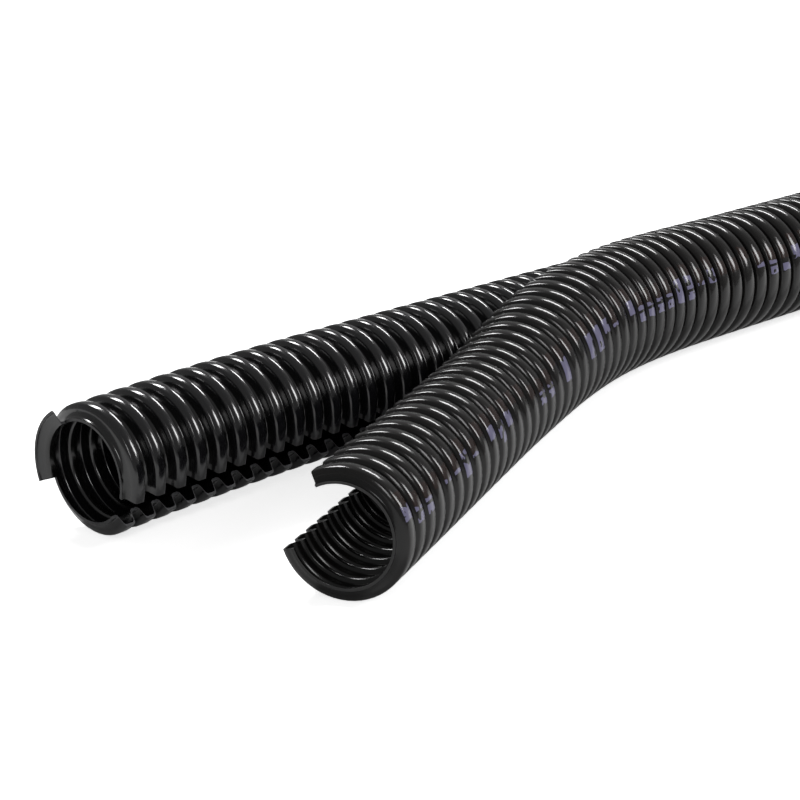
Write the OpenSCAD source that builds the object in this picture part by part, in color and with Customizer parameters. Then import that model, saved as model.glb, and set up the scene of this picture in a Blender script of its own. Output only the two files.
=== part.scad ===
/* Two-part corrugated cable conduit, a 1 m length of stock lying on the floor.
   A slotted inner tube is held by a larger slotted tube, which snaps over it
   with its own slot on the other side. The corrugations of the two interlock.
   At one end they are peeled apart: the inner tube runs on and sags to the
   floor, and the outer tube opens, bends away and closes up as it relaxes. */

/* [Inner tube] */
// Outside diameter over the crests
inner_od = 28.5; // [27.5:0.1:28.6]
// Depth of the grooves
inner_depth = 2.8; // [2.4:0.1:3]
// Flat of a crest, as a share of the pitch
inner_crest = 0.4; // [0.36:0.01:0.44]
// Flat of a groove, as a share of the pitch
inner_groove = 0.34; // [0.3:0.01:0.38]
// Width of the slot, in degrees
inner_slot = 28; // [20:1:40]
// Corrugations over which the free end sags to the floor
sag_rings = 13; // [8:1:18]

/* [Outer tube] */
// Outside diameter over the crests, snapped over the inner tube
outer_od = 31.8; // [31.4:0.1:32.6]
// Outside diameter over the crests, relaxed
outer_free_od = 27.4; // [27:0.1:29]
// Depth of the grooves
outer_depth = 2.5; // [2.2:0.1:2.6]
// Flat of a crest, as a share of the pitch
outer_crest = 0.62; // [0.58:0.01:0.66]
// Flat of a groove, as a share of the pitch
outer_groove = 0.16; // [0.14:0.01:0.18]
// Width of the slot where the tube is relaxed, in degrees
outer_free_slot = 82; // [74:1:88]

/* [Both tubes] */
// Length of one corrugation
pitch = 5.6; // [5.4:0.1:6]
// Corrugations along the whole stock
ring_count = 178; // [80:1:180]
// Thickness of the corrugated wall
wall = 0.6; // [0.5:0.05:0.65]

/* [Peeled-apart end] */
// Angle between the two free ends, in degrees
peel_angle = 23; // [10:1:25]
// Corrugations of the outer tube's free end before its bend
free_rings = 19; // [16:1:22]
// Corrugations in its bend
bend_rings = 19; // [18:1:22]
// Corrugations of the free end before the tube opens to its snapped-on size
closed_rings = 14; // [12:1:16]
// Corrugations over which it opens
opening_rings = 12; // [10:1:14]

/* [Hidden] */
$fn = 72;

inner_r = inner_od / 2;
outer_r = outer_od / 2;
outer_free_r = outer_free_od / 2;

// Where the slots face, in degrees up from the side that the outer tube leaves on
inner_slot_facing = -31;
outer_slot_facing = 180;
outer_free_facing = 160;

// Round the place where the inner tube leaves it, the outer tube is spread and its lips splayed
exit_ring = 27.5;
exit_reach = 12;
exit_spread = 0.4;
exit_splay = 22;

// Corrugations between which its slot turns from one facing to the other
turn_from = 8;
turn_to = 22;

// Both free ends come down to the floor, over so many corrugations of the outer tube. The rest
// stands this much clear of it.
run_lift = 0.3;
tip_rings = 16;

// The inner end's knife cut strays and leaves part of one more corrugation
remnant_facing = 160;
remnant_width = 92;
remnant_lip = 0.4;

// Corrugations meet in the middle of a groove, where the start of one reaches back over
// the end of the one before it. Its floor is wider there by this much.
socket = 0.24;
overlap = 0.32;

// Joints between corrugations are numbered from the peeled-apart end
outer_bend_end = free_rings + bend_rings;
outer_straight_end = min(free_rings, closed_rings, turn_from);

// Rises smoothly from 0 to 1
function ease(u) = let (t = min(max(u, 0), 1)) t * t * (3 - 2 * t);

// Crest radius of the outer tube at a joint, and its slot: the arc of plastic keeps its length
function exit_share(j) = ease(1 - abs(j - exit_ring) / exit_reach);
function outer_radius(j) =
    outer_free_r
    + (outer_r - outer_free_r) * ease((j - closed_rings) / opening_rings)
    + exit_spread * exit_share(j);
function outer_slot(j) =
    360 - (360 - outer_free_slot) * outer_free_r / outer_radius(j) + exit_splay * exit_share(j);
function outer_facing(j) =
    outer_free_facing
    + (outer_slot_facing - outer_free_facing) * ease((j - turn_from) / (turn_to - turn_from));

// Heading of one corrugation of the outer tube
function outer_heading(ring) = peel_angle * ease((outer_bend_end - ring - 0.5) / bend_rings);

// Joints of the outer tube's free end, worked back from the assembled run
outer_plan = [for (j = outer_bend_end, p = [outer_bend_end * pitch, 0]; j >= 0;
                   j = j - 1, p = p - pitch * [cos(outer_heading(j)), sin(outer_heading(j))]) p];
function outer_joint(j) =
    let (p = j < outer_bend_end ? outer_plan[outer_bend_end - j] : [j * pitch, 0])
    [p[0], p[1], outer_radius(j) + run_lift * ease(j / tip_rings)];

function inner_joint(j) =
    let (run_z = outer_r + run_lift)
    [j * pitch, 0, run_z - (run_z - inner_r) * pow(max(1 - j / sag_rings, 0), 2)];

// Along the axis, the remnant's flank runs from its foot to its top
remnant_foot = -inner_groove / 2 * pitch;
remnant_top = remnant_foot - (1 - inner_crest - inner_groove) / 2 * pitch;

// The part's box in plan, taken at the two free ends, puts the origin at its middle
front_x = min(outer_joint(0)[0] - outer_free_r * sin(peel_angle), remnant_top - remnant_lip);
side_y = outer_joint(0)[1] - outer_free_r * cos(peel_angle);
origin_shift = [-(ring_count * pitch + front_x) / 2, -(inner_r + side_y) / 2, 0];

function unit(v) = v / norm(v);

// Closed wall section of a run of corrugations, as radius and distance along the axis.
// It starts and ends in the middle of a groove, and reaches past both joints.
function wall_section(r0, r1, depth, crest, groove, count) =
    let (flank = (1 - crest - groove) / 2,
         start = r0 - depth + socket,
         outside = [for (i = [0 : count - 1])
            each [[i == 0 ? start : r0 - depth, (i + groove / 2) * pitch],
                  [r0, (i + groove / 2 + flank) * pitch],
                  [r1, (i + 1 - groove / 2 - flank) * pitch],
                  [r1 - depth, (i + 1 - groove / 2) * pitch]]],
         line = concat([[start, -overlap]], outside, [[r1 - depth, count * pitch + overlap]]))
    concat(line, [for (k = [len(line) - 1 : -1 : 0]) [line[k][0] - wall, line[k][1]]]);

// A slotted revolve along +X. The slot faces an angle up from -Y.
module slotted(section, slot, facing)
    rotate([0, 90, 0])
        rotate([0, 0, 270 - facing + slot / 2])
            rotate_extrude(angle = 360 - slot)
                polygon(section);

// Lays what points along +X from one joint to the next
module between(a, b) {
    along = unit(b - a);
    translate(a)
        rotate([0, -asin(along[2]), atan2(along[1], along[0])])
            children();
}

// The inner tube between two joints that one straight line joins
module inner_stretch(from, to)
    between(inner_joint(from), inner_joint(to))
        slotted(wall_section(inner_r, inner_r, inner_depth, inner_crest, inner_groove, to - from),
                inner_slot, inner_slot_facing);

// The outer tube between two joints that one straight line joins
module outer_stretch(from, to)
    between(outer_joint(from), outer_joint(to))
        slotted(wall_section(outer_radius(from), outer_radius(to), outer_depth,
                             outer_crest, outer_groove, to - from),
                outer_slot(from + 0.5), outer_facing(from + 0.5));

// The back flank of the next corrugation, left standing by the knife
module cut_remnant() {
    low = inner_r - inner_depth;
    between(inner_joint(0), inner_joint(1))
        slotted([[low, 0], [low, remnant_foot], [inner_r, remnant_top], [inner_r, remnant_top - remnant_lip],
                 [inner_r - wall, remnant_top - remnant_lip], [inner_r - wall, remnant_top],
                 [low - wall, remnant_foot], [low - wall, 0]],
                360 - remnant_width, remnant_facing + 180);
}

module inner_conduit()
    color([0.06, 0.06, 0.07])
        translate(origin_shift) {
            cut_remnant();
            for (ring = [0 : sag_rings - 1]) inner_stretch(ring, ring + 1);
            inner_stretch(sag_rings, ring_count);
        }

module outer_conduit()
    color([0.17, 0.17, 0.18])
        translate(origin_shift) {
            outer_stretch(0, outer_straight_end);
            for (ring = [outer_straight_end : outer_bend_end - 1]) outer_stretch(ring, ring + 1);
            outer_stretch(outer_bend_end, ring_count);
        }

inner_conduit();
outer_conduit();
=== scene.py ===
"""Two-part corrugated conduit, a metre of stock lying on the floor.

A glossy slotted inner tube is held in a satin slotted outer tube. They are
peeled apart at one end, where the outer tube bends away. Both tubes are
swept along their routes as smooth corrugated shells.
"""

from __future__ import annotations

import logging
import math
from dataclasses import dataclass
from enum import Enum, IntEnum
from functools import cached_property, partial

import bmesh
import bpy
from mathutils import Matrix, Vector

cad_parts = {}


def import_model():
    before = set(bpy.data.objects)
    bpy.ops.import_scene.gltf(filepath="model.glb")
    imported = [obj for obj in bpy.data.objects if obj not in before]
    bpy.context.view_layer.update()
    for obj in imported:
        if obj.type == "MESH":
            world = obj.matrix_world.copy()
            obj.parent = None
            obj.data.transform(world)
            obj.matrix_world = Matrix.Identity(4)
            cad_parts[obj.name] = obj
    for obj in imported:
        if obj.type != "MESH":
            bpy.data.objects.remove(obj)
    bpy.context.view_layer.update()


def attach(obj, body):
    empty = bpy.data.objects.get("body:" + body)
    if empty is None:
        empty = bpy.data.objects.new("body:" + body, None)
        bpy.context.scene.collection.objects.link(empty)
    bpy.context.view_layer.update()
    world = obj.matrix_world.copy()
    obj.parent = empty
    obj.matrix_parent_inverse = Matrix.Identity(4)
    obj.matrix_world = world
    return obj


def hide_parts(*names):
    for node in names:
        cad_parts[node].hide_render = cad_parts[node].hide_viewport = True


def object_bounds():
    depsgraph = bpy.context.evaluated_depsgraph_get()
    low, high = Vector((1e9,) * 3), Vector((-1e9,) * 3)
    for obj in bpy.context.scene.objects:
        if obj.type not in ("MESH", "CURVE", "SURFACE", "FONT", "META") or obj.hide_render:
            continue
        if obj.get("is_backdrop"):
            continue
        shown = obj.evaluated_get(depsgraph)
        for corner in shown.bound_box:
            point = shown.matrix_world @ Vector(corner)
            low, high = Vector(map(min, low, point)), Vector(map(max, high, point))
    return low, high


LOG = logging.getLogger("conduit")
MM = 0.001
PITCH = 5.6
RING_COUNT = 178
SAME_RUN = 1e-4

# Rows of points on a flank: how far across it, and how high up the wave.
RISING_FLANK = ((0.18, 0.1), (0.5, 0.5), (0.84, 0.88))
REMNANT_FLANK = ((0.2, 0.85), (0.6, 0.35), (0.9, 0.06))

# Variations of an extruded surface: the output, its scale and its detail.
BLOOM_NOISES = (("Cloud", 70.0, 3.0), ("Grain", 900.0, 2.0), ("Fleck", 420.0, 1.0))

# Heights of the fine relief, in metres.
GRAIN_HEIGHT = 0.00008
SAW_MARK_HEIGHT = 0.0001

Colour = tuple[float, float, float]


class Node(Enum):
    """The two tubes of the frame."""

    INNER = "inner_conduit"
    OUTER = "outer_conduit"


class Slot(Enum):
    """Finish slots of the record."""

    INNER = "inner_plastic"
    OUTER = "outer_plastic"


class Skin(IntEnum):
    """Material slots of a shell."""

    MOULDED = 0
    SAWN = 1
    SLIT = 2


def ease(share: float) -> float:
    """Rise smoothly from 0 to 1.

    Args:
        share: How far along, before clamping to 0 to 1.

    Returns:
        The eased value.
    """
    t = min(max(share, 0.0), 1.0)
    return t * t * (3.0 - 2.0 * t)


@dataclass(frozen=True)
class Corrugation:
    """One wave of a corrugated wall, from mid-groove to mid-groove.

    The crest and the groove are shares of the pitch. The crown is how much
    lower the crest's edges are than its middle, as a share of the depth.
    """

    depth: float
    crest: float
    groove: float
    crown: float = 0.012
    flat_share: float = 0.7
    edge_share: float = 0.1

    def stations(self) -> list[tuple[float, float]]:
        """List the places along a wave where the shell gets a row of points.

        Returns:
            Pairs of share of the pitch and height, from 0 in the groove to 1.
        """
        flank = (1.0 - self.crest - self.groove) / 2
        start = self.groove / 2
        half = [(0.0, 0.0), (start * self.flat_share, 0.0)]
        half += [(start + flank * across, level) for across, level in RISING_FLANK]
        half.append((start + flank + self.crest * self.edge_share, 1.0 - self.crown))
        mirrored = [(1.0 - t, level) for t, level in reversed(half[1:])]
        return half + [(0.5, 1.0)] + mirrored


@dataclass(frozen=True)
class Section:
    """The tube's cross-section at one place along its route."""

    centre: Vector
    side: Vector
    up: Vector
    radius: float
    slot: float
    facing: float

    def point(self, angle: float, inset: float) -> Vector:
        """Place a point on the wall.

        Args:
            angle: Degrees up from the side the outer tube leaves on.
            inset: Distance below the crest radius.

        Returns:
            The point, in metres.
        """
        a = math.radians(angle)
        reach = self.radius - inset
        return (self.centre + reach * (math.cos(a) * self.side + math.sin(a) * self.up)) * MM


@dataclass(frozen=True)
class Route:
    """Where a tube lies, in millimetres from the middle of the footprint."""

    shift_x: float
    shift_y: float

    def joint(self, number: int) -> Vector:
        """Return the middle of the groove before a corrugation."""
        raise NotImplementedError

    def radius(self, run: float) -> float:
        """Return the crest radius at a place counted in corrugations."""
        raise NotImplementedError

    def slot(self, run: float) -> float:
        """Return the width of the slot in degrees."""
        raise NotImplementedError

    def facing(self, run: float) -> float:
        """Return the direction of the slot's middle in degrees."""
        raise NotImplementedError

    def _along(self, ring: int) -> Vector:
        """Return the direction of one corrugation."""
        ring = max(ring, 0)
        return (self.joint(ring + 1) - self.joint(ring)).normalized()

    def section(self, run: float) -> Section:
        """Work out the cross-section at a place.

        Args:
            run: Distance from the peeled-apart end, in corrugations.

        Returns:
            The section there.
        """
        ring = max(math.floor(run), 0)
        share = run - ring
        start = self.joint(ring)
        centre = start + (self.joint(ring + 1) - start) * share
        here = (self._along(ring - 1) + self._along(ring)).normalized()
        after = (self._along(ring) + self._along(ring + 1)).normalized()
        along = here.lerp(after, min(max(share, 0.0), 1.0)).normalized()
        side = Vector((along.y, -along.x, 0.0)).normalized()
        origin = Vector((self.shift_x, self.shift_y, 0.0))
        return Section(centre + origin, side, side.cross(along), self.radius(run),
                       self.slot(run), self.facing(run))


@dataclass(frozen=True)
class InnerRoute(Route):
    """Straight, with a free end that sags to the floor."""

    crest_radius: float = 14.25
    assembled_height: float = 16.2
    sag_rings: float = 13.0
    slot_width: float = 28.0
    slot_facing: float = -31.0

    def joint(self, number: int) -> Vector:
        """Return the middle of the groove before a corrugation."""
        sag = max(1.0 - number / self.sag_rings, 0.0) ** 2
        drop = (self.assembled_height - self.crest_radius) * sag
        return Vector((number * PITCH, 0.0, self.assembled_height - drop))

    def radius(self, run: float) -> float:
        """Return the crest radius at a place counted in corrugations."""
        return self.crest_radius

    def slot(self, run: float) -> float:
        """Return the width of the slot in degrees."""
        return self.slot_width

    def facing(self, run: float) -> float:
        """Return the direction of the slot's middle in degrees."""
        return self.slot_facing


@dataclass(frozen=True)
class OuterRoute(Route):
    """Bends away from the assembled run and closes up as it relaxes."""

    assembled_radius: float = 15.9
    free_radius: float = 13.7
    free_slot: float = 82.0
    peel_angle: float = 23.0
    bend_end: int = 38
    bend_rings: float = 19.0
    opens_from: float = 14.0
    opening_rings: float = 12.0
    exit_ring: float = 27.5
    exit_reach: float = 12.0
    exit_spread: float = 0.4
    exit_splay: float = 22.0
    free_facing: float = 160.0
    assembled_facing: float = 180.0
    turns_from: float = 8.0
    turns_to: float = 22.0
    run_lift: float = 0.3
    tip_rings: float = 16.0

    @cached_property
    def _plan(self) -> list[tuple[float, float]]:
        """Joints of the free end in plan, from the front to the bend's end."""
        x, y = self.bend_end * PITCH, 0.0
        plan = [(x, y)]
        for ring in range(self.bend_end - 1, -1, -1):
            share = (self.bend_end - ring - 0.5) / self.bend_rings
            heading = math.radians(self.peel_angle * ease(share))
            x, y = x - PITCH * math.cos(heading), y - PITCH * math.sin(heading)
            plan.append((x, y))
        return plan[::-1]

    def joint(self, number: int) -> Vector:
        """Return the middle of the groove before a corrugation."""
        x, y = self._plan[number] if number <= self.bend_end else (number * PITCH, 0.0)
        return Vector((x, y, self.radius(number) + self.run_lift * ease(number / self.tip_rings)))

    def _exit_share(self, run: float) -> float:
        """How much the leaving inner tube spreads this place, from 0 to 1."""
        return ease(1.0 - abs(run - self.exit_ring) / self.exit_reach)

    def radius(self, run: float) -> float:
        """Return the crest radius at a place counted in corrugations."""
        opened = ease((run - self.opens_from) / self.opening_rings)
        return (self.free_radius + (self.assembled_radius - self.free_radius) * opened
                + self.exit_spread * self._exit_share(run))

    def slot(self, run: float) -> float:
        """Return the width of the slot in degrees."""
        arc = (360.0 - self.free_slot) * self.free_radius / self.radius(run)
        return 360.0 - arc + self.exit_splay * self._exit_share(run)

    def facing(self, run: float) -> float:
        """Return the direction of the slot's middle in degrees."""
        turned = ease((run - self.turns_from) / (self.turns_to - self.turns_from))
        return self.free_facing + (self.assembled_facing - self.free_facing) * turned


@dataclass(frozen=True)
class Remnant:
    """The back flank of one more corrugation, left standing by the knife."""

    facing: float = 160.0
    width: float = 92.0
    lip: float = 0.4
    edge: float = 0.01
    edge_level: float = 0.98
    flat_share: float = 0.75

    def stations(self, wave: Corrugation) -> list[tuple[float, float]]:
        """List the rows before the first corrugation, from the lip inwards.

        Args:
            wave: The tube's corrugation.

        Returns:
            Pairs of run, below 0, and height.
        """
        flank = (1.0 - wave.crest - wave.groove) / 2
        foot = -wave.groove / 2
        top = foot - flank
        rows = [(top - self.lip / PITCH, 1.0), (top - self.edge, self.edge_level)]
        rows += [(top + flank * across, level) for across, level in REMNANT_FLANK]
        return rows + [(foot * self.flat_share, 0.0)]

    def holds(self, angle: float) -> bool:
        """Tell whether the remnant stands at this angle."""
        away = (angle - self.facing + 180.0) % 360.0 - 180.0
        return abs(away) <= self.width / 2


@dataclass(frozen=True)
class Stretch:
    """A run of corrugations that is one mesh."""

    label: str
    start: int
    end: int
    steps_round: int


@dataclass(frozen=True)
class PrintLine:
    """Plain inkjet bars on the crests, with angles in degrees of girth.

    A chance is the share of corrugations that go without: without a bar,
    with its foot or head not shortened, or without a break in it.
    """

    ink_colour: Colour = (0.19, 0.18, 0.29)
    smear_colour: Colour = (0.022, 0.009, 0.006)
    foot: float = 9.0
    head: float = 31.0
    shortened_by: float = 9.0
    break_foot: float = 16.5
    break_head: float = 19.0
    smear_reach: float = 13.0
    raggedness: float = 5.0
    crest_level: float = 0.93
    bare_chance: float = 0.32
    full_foot_chance: float = 0.6
    full_head_chance: float = 0.55
    whole_chance: float = 0.35
    worn_below: float = 0.4
    ink_strength: float = 0.85
    smear_strength: float = 0.7
    seeds: tuple[float, float, float] = (0.5, 37.5, 81.5)

    def lay_over(self, tree: bpy.types.NodeTree, colour: bpy.types.NodeSocket,
                 wear: bpy.types.NodeSocket) -> bpy.types.NodeSocket:
        """Lay the bars and their smear over a colour.

        Args:
            tree: The material's tree.
            colour: The bare plastic's colour.
            wear: The fleck that wears the bars.

        Returns:
            The colour with the print on it.
        """
        marks = tree.nodes.new("ShaderNodeGroup")
        marks.node_tree = self._masks()
        tree.links.new(wear, marks.inputs["Wear"])
        for mask, tint in (("Smear", self.smear_colour), ("Ink", self.ink_colour)):
            colour = mixed(tree, marks.outputs[mask], colour, tint)
        return colour

    def _masks(self) -> bpy.types.NodeTree:
        """Make, once, the group of the print's masks.

        Returns:
            The group, with Ink and Smear masks.
        """
        name = "printed_marks"
        if name in bpy.data.node_groups:
            return bpy.data.node_groups[name]
        tree = bpy.data.node_groups.new(name, "ShaderNodeTree")
        for socket, way in (("Wear", "INPUT"), ("Ink", "OUTPUT"), ("Smear", "OUTPUT")):
            tree.interface.new_socket(socket, in_out=way, socket_type="NodeSocketFloat")
        wear = tree.nodes.new("NodeGroupInput").outputs["Wear"]
        out = tree.nodes.new("NodeGroupOutput")
        calc = partial(math_node, tree)
        angle = attribute_value(tree, "girth")
        ring = calc("FLOOR", attribute_value(tree, "run"))
        spread, kind, low_end = (chance(tree, ring, seed) for seed in self.seeds)

        ragged = calc("MULTIPLY_ADD", wear, self.raggedness, -self.raggedness / 2)
        low = calc("MULTIPLY_ADD", calc("GREATER_THAN", low_end, self.full_foot_chance),
                   self.shortened_by, self.foot)
        high = calc("MULTIPLY_ADD", calc("GREATER_THAN", kind, self.full_head_chance),
                    -self.shortened_by, self.head)
        low, high = calc("ADD", low, ragged), calc("ADD", high, ragged)

        bar = calc("MULTIPLY", band(tree, angle, low, high),
                   calc("GREATER_THAN", spread, self.bare_chance))
        broken = calc("MULTIPLY", band(tree, angle, self.break_foot, self.break_head),
                      calc("GREATER_THAN", kind, self.whole_chance))
        bar = calc("MULTIPLY", bar, calc("SUBTRACT", 1.0, broken))
        crest = calc("GREATER_THAN", attribute_value(tree, "height"), self.crest_level)
        outside = calc("GREATER_THAN", attribute_value(tree, "outside"), 0.5)
        where = calc("MULTIPLY", crest, outside)
        inked = calc("MULTIPLY", calc("MULTIPLY", bar, where),
                     calc("GREATER_THAN", wear, self.worn_below))
        tree.links.new(calc("MULTIPLY", inked, self.ink_strength), out.inputs["Ink"])
        halo = band(tree, angle, high, calc("ADD", high, self.smear_reach))
        smeared = calc("MULTIPLY", calc("MULTIPLY", halo, where), self.smear_strength)
        tree.links.new(smeared, out.inputs["Smear"])
        return tree


@dataclass(frozen=True)
class PlasticFinish:
    """An extruded plastic: its colours, gloss and surface grain, with painted shade in its grooves
    and a painted highlight on its slit faces.
    """

    name: str
    slot: Slot
    colour: Colour
    # Painted shade: the darker colour of the grooves, where less light reaches.
    groove_shade_colour: Colour
    sawn_colour: Colour
    # Partly painted highlight: the slit faces are coloured far lighter than the plastic, to show
    # the light that their thin edges catch.
    slit_highlight_colour: Colour
    roughness: float
    roughness_spread: float
    grain: float
    specular: float
    coat: float = 0.0
    coat_roughness: float = 0.06
    cut_roughness: float = 0.42
    cut_grain: float = 0.5
    cut_shade: float = 0.7
    printed: PrintLine | None = None

    def skin(self) -> bpy.types.Material:
        """Make the material of the moulded wall.

        Returns:
            The material.
        """
        mat, shader, tree = plain_shader(self.name)
        bloom = extrusion_bloom(tree)
        # Painted shade: the colour darkens from the crests down into the grooves, following the
        # height of the wave.
        colour = mixed(tree, attribute_value(tree, "height"), self.groove_shade_colour, self.colour)
        if self.printed:
            colour = self.printed.lay_over(tree, colour, bloom["Fleck"])
        rough = tree.nodes.new("ShaderNodeMapRange")
        rough.inputs["To Min"].default_value = self.roughness - self.roughness_spread
        rough.inputs["To Max"].default_value = self.roughness + self.roughness_spread
        tree.links.new(bloom["Cloud"], rough.inputs["Value"])
        tree.links.new(colour, shader.inputs["Base Color"])
        tree.links.new(rough.outputs["Result"], shader.inputs["Roughness"])
        tree.links.new(relief(tree, bloom["Grain"], self.grain, GRAIN_HEIGHT),
                       shader.inputs["Normal"])
        shader.inputs["Specular IOR Level"].default_value = self.specular
        shader.inputs["Coat Weight"].default_value = self.coat
        shader.inputs["Coat Roughness"].default_value = self.coat_roughness
        return mat

    def cut(self, how: str, colour: Colour) -> bpy.types.Material:
        """Make the material of a cut face.

        Args:
            how: What cut it, for the material's name.
            colour: Its colour; for the slit faces it is partly a painted highlight.

        Returns:
            The material.
        """
        mat, shader, tree = plain_shader("%s_%s" % (self.name, how))
        bloom = extrusion_bloom(tree)
        shade = tuple(self.cut_shade * channel for channel in colour)
        tree.links.new(mixed(tree, bloom["Grain"], shade, colour), shader.inputs["Base Color"])
        tree.links.new(relief(tree, bloom["Grain"], self.cut_grain, SAW_MARK_HEIGHT),
                       shader.inputs["Normal"])
        shader.inputs["Roughness"].default_value = self.cut_roughness
        return mat


def plain_shader(name: str) -> tuple[bpy.types.Material, bpy.types.Node, bpy.types.NodeTree]:
    """Start a material with one Principled shader.

    Args:
        name: The material's name.

    Returns:
        The material, its shader node and its node tree.
    """
    mat = bpy.data.materials.new(name)
    mat.use_nodes = True
    return mat, mat.node_tree.nodes["Principled BSDF"], mat.node_tree


def math_node(tree: bpy.types.NodeTree, operation: str, *values: object) -> bpy.types.NodeSocket:
    """Add a Math node.

    Args:
        tree: The tree it goes in.
        operation: The node's operation.
        values: Numbers, or the sockets that feed it.

    Returns:
        The node's output.
    """
    node = tree.nodes.new("ShaderNodeMath")
    node.operation = operation
    for socket, value in zip(node.inputs, values):
        if isinstance(value, (int, float)):
            socket.default_value = value
        else:
            tree.links.new(value, socket)
    return node.outputs[0]


def mixed(tree: bpy.types.NodeTree, factor: bpy.types.NodeSocket, low: object,
          high: Colour) -> bpy.types.NodeSocket:
    """Add a Mix node between two colours.

    Args:
        tree: The tree it goes in.
        factor: The socket that mixes them.
        low: The colour at 0, or the socket that gives it.
        high: The colour at 1.

    Returns:
        The mixed colour.
    """
    node = tree.nodes.new("ShaderNodeMix")
    node.data_type = "RGBA"
    tree.links.new(factor, node.inputs["Factor"])
    if isinstance(low, tuple):
        node.inputs["A"].default_value = (*low, 1.0)
    else:
        tree.links.new(low, node.inputs["A"])
    node.inputs["B"].default_value = (*high, 1.0)
    return node.outputs["Result"]


def relief(tree: bpy.types.NodeTree, height: bpy.types.NodeSocket, strength: float,
           distance: float) -> bpy.types.NodeSocket:
    """Add a Bump node.

    Args:
        tree: The tree it goes in.
        height: The socket that gives the height.
        strength: How strongly it shows.
        distance: Its height in metres.

    Returns:
        The bumped normal.
    """
    node = tree.nodes.new("ShaderNodeBump")
    node.inputs["Strength"].default_value = strength
    node.inputs["Distance"].default_value = distance
    tree.links.new(height, node.inputs["Height"])
    return node.outputs["Normal"]


def attribute_value(tree: bpy.types.NodeTree, label: str) -> bpy.types.NodeSocket:
    """Read one of the values that a shell's points carry."""
    node = tree.nodes.new("ShaderNodeAttribute")
    node.attribute_name = label
    return node.outputs["Fac"]


def chance(tree: bpy.types.NodeTree, ring: bpy.types.NodeSocket,
           seed: float) -> bpy.types.NodeSocket:
    """Give every corrugation its own random value.

    Args:
        tree: The tree it goes in.
        ring: The corrugation's number.
        seed: What sets this value apart from the others.

    Returns:
        The value, from 0 to 1.
    """
    node = tree.nodes.new("ShaderNodeTexWhiteNoise")
    node.noise_dimensions = "1D"
    tree.links.new(math_node(tree, "ADD", ring, seed), node.inputs["W"])
    return node.outputs["Value"]


def band(tree: bpy.types.NodeTree, value: bpy.types.NodeSocket, low: object,
         high: object) -> bpy.types.NodeSocket:
    """Tell whether a value lies between two others.

    Args:
        tree: The tree it goes in.
        value: The value.
        low: The lower end, a number or a socket.
        high: The upper end, a number or a socket.

    Returns:
        1 inside and 0 outside.
    """
    above = math_node(tree, "GREATER_THAN", value, low)
    return math_node(tree, "MULTIPLY", above, math_node(tree, "LESS_THAN", value, high))


def extrusion_bloom(into: bpy.types.NodeTree) -> bpy.types.bpy_prop_collection:
    """Use the group of the plastic's cloudiness, grain and fleck, made once.

    Args:
        into: The tree that uses it.

    Returns:
        The group's Cloud, Grain and Fleck outputs, from 0 to 1.
    """
    name = "extrusion_bloom"
    tree = bpy.data.node_groups.get(name)
    if tree is None:
        tree = bpy.data.node_groups.new(name, "ShaderNodeTree")
        out = tree.nodes.new("NodeGroupOutput")
        place = tree.nodes.new("ShaderNodeTexCoord")
        for socket, scale, detail in BLOOM_NOISES:
            tree.interface.new_socket(socket, in_out="OUTPUT", socket_type="NodeSocketFloat")
            noise = tree.nodes.new("ShaderNodeTexNoise")
            noise.inputs["Scale"].default_value = scale
            noise.inputs["Detail"].default_value = detail
            tree.links.new(place.outputs["Object"], noise.inputs["Vector"])
            tree.links.new(noise.outputs["Fac"], out.inputs[socket])
    user = into.nodes.new("ShaderNodeGroup")
    user.node_tree = tree
    return user.outputs


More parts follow.
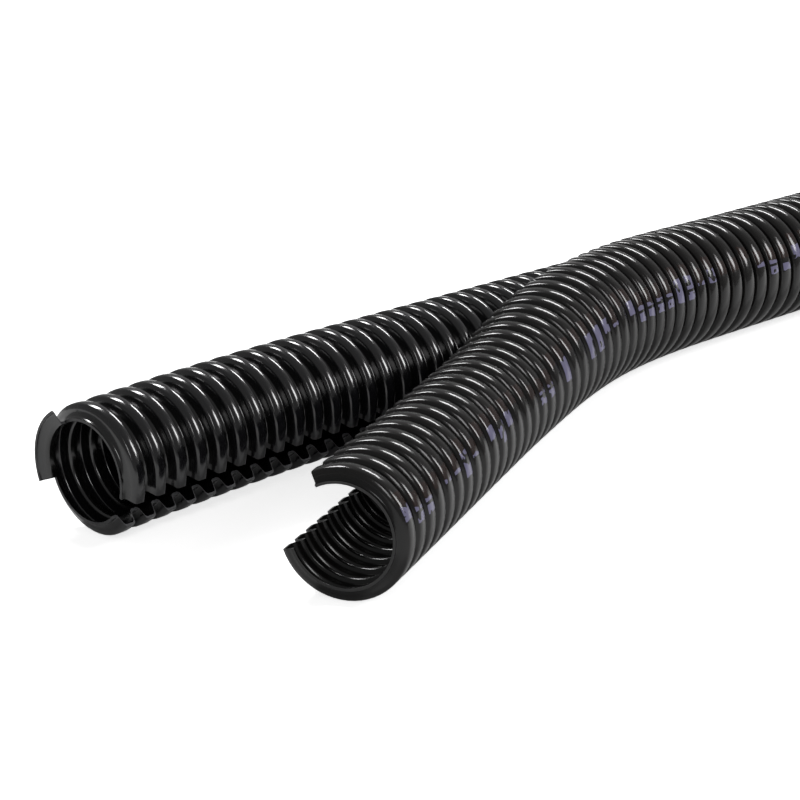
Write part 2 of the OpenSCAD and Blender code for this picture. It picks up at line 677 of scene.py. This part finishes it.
@dataclass
class CorrugatedTube:
    """One slotted corrugated tube, swept along its route as closed shells."""

    node: Node
    route: Route
    wave: Corrugation
    finish: PlasticFinish
    stretches: tuple[Stretch, ...]
    wall: float = 0.6
    remnant: Remnant | None = None

    def build(self) -> list[bpy.types.Object]:
        """Build and dress every stretch.

        Returns:
            The finished objects.
        """
        looks = {Skin.MOULDED: self.finish.skin(),
                 Skin.SAWN: self.finish.cut("sawn", self.finish.sawn_colour),
                 # The slit material's colour is partly a painted highlight.
                 Skin.SLIT: self.finish.cut("slit", self.finish.slit_highlight_colour)}
        pieces = []
        for stretch in self.stretches:
            piece = self._shell(stretch)
            for kind in Skin:
                piece.data.materials.append(looks[kind])
            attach(piece, "root")
            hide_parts(self.node.value)
            LOG.info("%s: %d faces", piece.name, len(piece.data.polygons))
            pieces.append(piece)
        return pieces

    def _rows(self, stretch: Stretch) -> list[tuple[float, float]]:
        """List the run and height of every row of points of a stretch.

        Args:
            stretch: The stretch.

        Returns:
            Pairs of run, in corrugations, and height.
        """
        rows = []
        if self.remnant and stretch.start == 0:
            rows += self.remnant.stations(self.wave)
        for ring in range(stretch.start, stretch.end):
            rows += [(ring + t, level) for t, level in self.wave.stations()]
        return rows + [(float(stretch.end), 0.0)]

    def _shell(self, stretch: Stretch) -> bpy.types.Object:
        """Sweep one stretch and give it its wall.

        Args:
            stretch: The stretch.

        Returns:
            The object, without materials.
        """
        rows = self._rows(stretch)
        mesh = bmesh.new()
        bmesh.ops.create_grid(mesh, x_segments=len(rows) - 1, y_segments=stretch.steps_round,
                              size=1.0)
        layer = {key: mesh.verts.layers.float.new(key)
                 for key in ("run", "girth", "height", "outside")}
        row_of = mesh.verts.layers.int.new("row")
        sections = [self.route.section(run) for run, _ in rows]
        for vert in mesh.verts:
            index = round((vert.co.x + 1.0) / 2 * (len(rows) - 1))
            (run, level), section = rows[index], sections[index]
            share = (vert.co.y + 1.0) / 2
            angle = section.facing + section.slot / 2 + share * (360.0 - section.slot)
            vert.co = section.point(angle, self.wave.depth * (1.0 - level))
            vert[layer["run"]] = run
            vert[layer["girth"]] = (angle + 180.0) % 360.0 - 180.0
            vert[layer["height"]] = level
            vert[layer["outside"]] = 1.0
            vert[row_of] = index
        if self.remnant and stretch.start == 0:
            self._trim_remnant(mesh, layer)
        for vert in self._thicken(mesh, layer):
            (_, level), section = rows[vert[row_of]], sections[vert[row_of]]
            inset = self.wave.depth * (1.0 - level) + self.wall
            vert.co = section.point(vert[layer["girth"]], inset)
        mesh.verts.layers.int.remove(row_of)
        return self._finished(mesh, "%s_%s" % (self.node.value, stretch.label))

    def _trim_remnant(self, mesh: bmesh.types.BMesh, layer: dict[str, object]) -> None:
        """Leave the cut-off corrugation standing only where the knife missed it.

        Args:
            mesh: The open sheet.
            layer: Its vertex layers.
        """
        gone = []
        for face in mesh.faces:
            ahead = min(v[layer["run"]] for v in face.verts) < 0
            if ahead and not all(self.remnant.holds(v[layer["girth"]]) for v in face.verts):
                gone.append(face)
        bmesh.ops.delete(mesh, geom=gone, context="FACES")

    def _thicken(self, mesh: bmesh.types.BMesh,
                 layer: dict[str, object]) -> set[bmesh.types.BMVert]:
        """Give the sheet an inner face, with sharp cut edges.

        Args:
            mesh: The open sheet.
            layer: Its vertex layers.

        Returns:
            The points of the inner face, still to be set a wall's thickness in.
        """
        middle = self.route.section(sum(v[layer["run"]] for v in mesh.verts) / len(mesh.verts))
        mesh.normal_update()
        probe = min(mesh.faces, key=lambda f: (f.calc_center_median() - middle.centre * MM).length)
        if probe.normal.dot(probe.calc_center_median() - middle.centre * MM) < 0:
            bmesh.ops.reverse_faces(mesh, faces=mesh.faces[:])
        made = bmesh.ops.solidify(mesh, geom=mesh.faces[:], thickness=self.wall * MM)
        fresh = {v for v in made["geom"] if isinstance(v, bmesh.types.BMVert)}
        for vert in fresh:
            vert[layer["outside"]] = 0.0
        for face in mesh.faces:
            face.smooth = True
            inside = sum(v in fresh for v in face.verts)
            if 0 < inside < len(face.verts):
                runs = [v[layer["run"]] for v in face.verts]
                face.material_index = Skin.SAWN if max(runs) - min(runs) < SAME_RUN else Skin.SLIT
        for edge in mesh.edges:
            edge.smooth = len({face.material_index for face in edge.link_faces}) < 2
        return fresh

    @staticmethod
    def _finished(mesh: bmesh.types.BMesh, name: str) -> bpy.types.Object:
        """Turn the working mesh into an object of the scene.

        Args:
            mesh: The mesh, which is freed.
            name: The piece's name.

        Returns:
            The object.
        """
        data = bpy.data.meshes.new(name)
        mesh.to_mesh(data)
        mesh.free()
        piece = bpy.data.objects.new(name, data)
        bpy.context.scene.collection.objects.link(piece)
        return piece


@dataclass(frozen=True)
class Softbox:
    """One soft lamp, aimed at a point."""

    name: str
    place: tuple[float, float, float]
    aim: tuple[float, float, float]
    size: tuple[float, float]
    power: float


@dataclass
class Studio:
    """Pale floor, soft lamps and the camera.

    The floor glows and the room is white only where the camera sees them.
    """

    floor_size: float = 8.0
    floor_gap: float = 0.0001
    floor_colour: Colour = (0.9, 0.9, 0.9)
    floor_glow: float = 0.75
    room_light: float = 0.24
    camera_place: tuple[float, float, float] = (-0.7756, -0.3248, 0.1714)
    camera_turn: tuple[float, float, float] = (72.44, 0.25, -46.27)
    lens: float = 103.8
    lamps: tuple[Softbox, ...] = (
        Softbox("overhead_box", (-0.25, 0.6, 0.77), (-0.4, 0.0, 0.02), (0.4, 0.2), 6.0),
        Softbox("right_box", (0.42, -0.62, 0.56), (-0.4, 0.0, 0.02), (0.34, 0.4), 5.0),
        Softbox("back_box", (0.6, 0.42, 0.72), (-0.2, 0.0, 0.02), (0.4, 0.14), 3.0),
        Softbox("front_box", (-1.12, -0.74, 0.58), (-0.4, 0.0, 0.02), (0.2, 0.4), 2.0),
    )

    def build(self) -> None:
        """Set up everything but the object."""
        self._camera()
        self._floor()
        self._world()
        for lamp in self.lamps:
            self._lamp(lamp)
        bpy.context.scene.view_settings.view_transform = "Standard"

    def _camera(self) -> None:
        """Place the camera at the viewing angle."""
        data = bpy.data.cameras.new("camera")
        data.lens = self.lens
        data.sensor_width = 36.0
        data.clip_end = 50.0
        camera = bpy.data.objects.new("camera", data)
        camera.location = self.camera_place
        pitch, roll, heading = (math.radians(turn) for turn in self.camera_turn)
        turn = Matrix.Rotation(heading, 4, "Z") @ Matrix.Rotation(pitch, 4, "X")
        camera.rotation_euler = (turn @ Matrix.Rotation(roll, 4, "Z")).to_euler()
        bpy.context.scene.collection.objects.link(camera)
        bpy.context.scene.camera = camera

    def _floor(self) -> None:
        """Lay the pale floor under the object."""
        mesh = bmesh.new()
        bmesh.ops.create_grid(mesh, x_segments=2, y_segments=2, size=self.floor_size)
        data = bpy.data.meshes.new("floor")
        mesh.to_mesh(data)
        mesh.free()
        floor = bpy.data.objects.new("floor", data)
        floor.location.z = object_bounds()[0][2] - self.floor_gap
        mat, shader, tree = plain_shader("pale_floor")
        shader.inputs["Base Color"].default_value = (*self.floor_colour, 1.0)
        shader.inputs["Roughness"].default_value = 0.9
        shader.inputs["Specular IOR Level"].default_value = 0.1
        shader.inputs["Emission Color"].default_value = (1.0, 1.0, 1.0, 1.0)
        path = tree.nodes.new("ShaderNodeLightPath")
        lit = math_node(tree, "MULTIPLY", path.outputs["Is Camera Ray"], self.floor_glow)
        tree.links.new(lit, shader.inputs["Emission Strength"])
        data.materials.append(mat)
        bpy.context.scene.collection.objects.link(floor)
        floor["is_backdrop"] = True

    def _world(self) -> None:
        """Fill the room with plain light, white where it is seen."""
        world = bpy.data.worlds.new("room")
        world.use_nodes = True
        tree = world.node_tree
        background = tree.nodes["Background"]
        background.inputs["Color"].default_value = (1.0, 1.0, 1.0, 1.0)
        path = tree.nodes.new("ShaderNodeLightPath")
        seen = math_node(tree, "MAXIMUM", path.outputs["Is Camera Ray"], self.room_light)
        tree.links.new(seen, background.inputs["Strength"])
        bpy.context.scene.world = world

    @staticmethod
    def _lamp(lamp: Softbox) -> None:
        """Hang one soft lamp.

        Args:
            lamp: Its place, size and power.
        """
        data = bpy.data.lights.new(lamp.name, "AREA")
        data.shape = "RECTANGLE"
        data.size, data.size_y = lamp.size
        data.energy = lamp.power
        light = bpy.data.objects.new(lamp.name, data)
        light.location = lamp.place
        aim = Vector(lamp.aim) - Vector(lamp.place)
        light.rotation_euler = aim.to_track_quat("-Z", "Y").to_euler()
        bpy.context.scene.collection.objects.link(light)


def conduit_tubes() -> list[CorrugatedTube]:
    """Describe both tubes.

    Returns:
        The inner and the outer tube.
    """
    shift = {"shift_x": -497.36, "shift_y": 30.47}
    stretches = (Stretch("near", 0, 75, 46), Stretch("far", 75, RING_COUNT, 36))
    gloss = PlasticFinish(
        "gloss_black_plastic", Slot.INNER, colour=(0.005, 0.005, 0.006),
        # The groove colour is painted shade.
        groove_shade_colour=(0.003, 0.003, 0.003), sawn_colour=(0.016, 0.016, 0.017),
        # The slit colour is partly a painted highlight.
        slit_highlight_colour=(0.09, 0.09, 0.095), roughness=0.19, roughness_spread=0.05,
        grain=0.12, specular=0.6, coat=0.4)
    satin = PlasticFinish(
        "satin_charcoal_plastic", Slot.OUTER, colour=(0.009, 0.0083, 0.008),
        # The groove colour is painted shade.
        groove_shade_colour=(0.003, 0.003, 0.003), sawn_colour=(0.012, 0.0115, 0.0115),
        # The slit colour is partly a painted highlight.
        slit_highlight_colour=(0.04, 0.04, 0.04), roughness=0.17, roughness_spread=0.05,
        grain=0.2, specular=0.42, printed=PrintLine())
    return [
        CorrugatedTube(Node.INNER, InnerRoute(**shift),
                       Corrugation(depth=2.8, crest=0.4, groove=0.34), gloss, stretches,
                       remnant=Remnant()),
        CorrugatedTube(Node.OUTER, OuterRoute(**shift),
                       Corrugation(depth=2.5, crest=0.62, groove=0.16), satin, stretches),
    ]


def main() -> None:
    """Load the frame, build both tubes and the studio, and log each piece's face count."""
    logging.basicConfig(level=logging.INFO, format="%(message)s")
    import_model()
    Studio().build()
    for tube in conduit_tubes():
        tube.build()


if __name__ == "__main__":
    main()
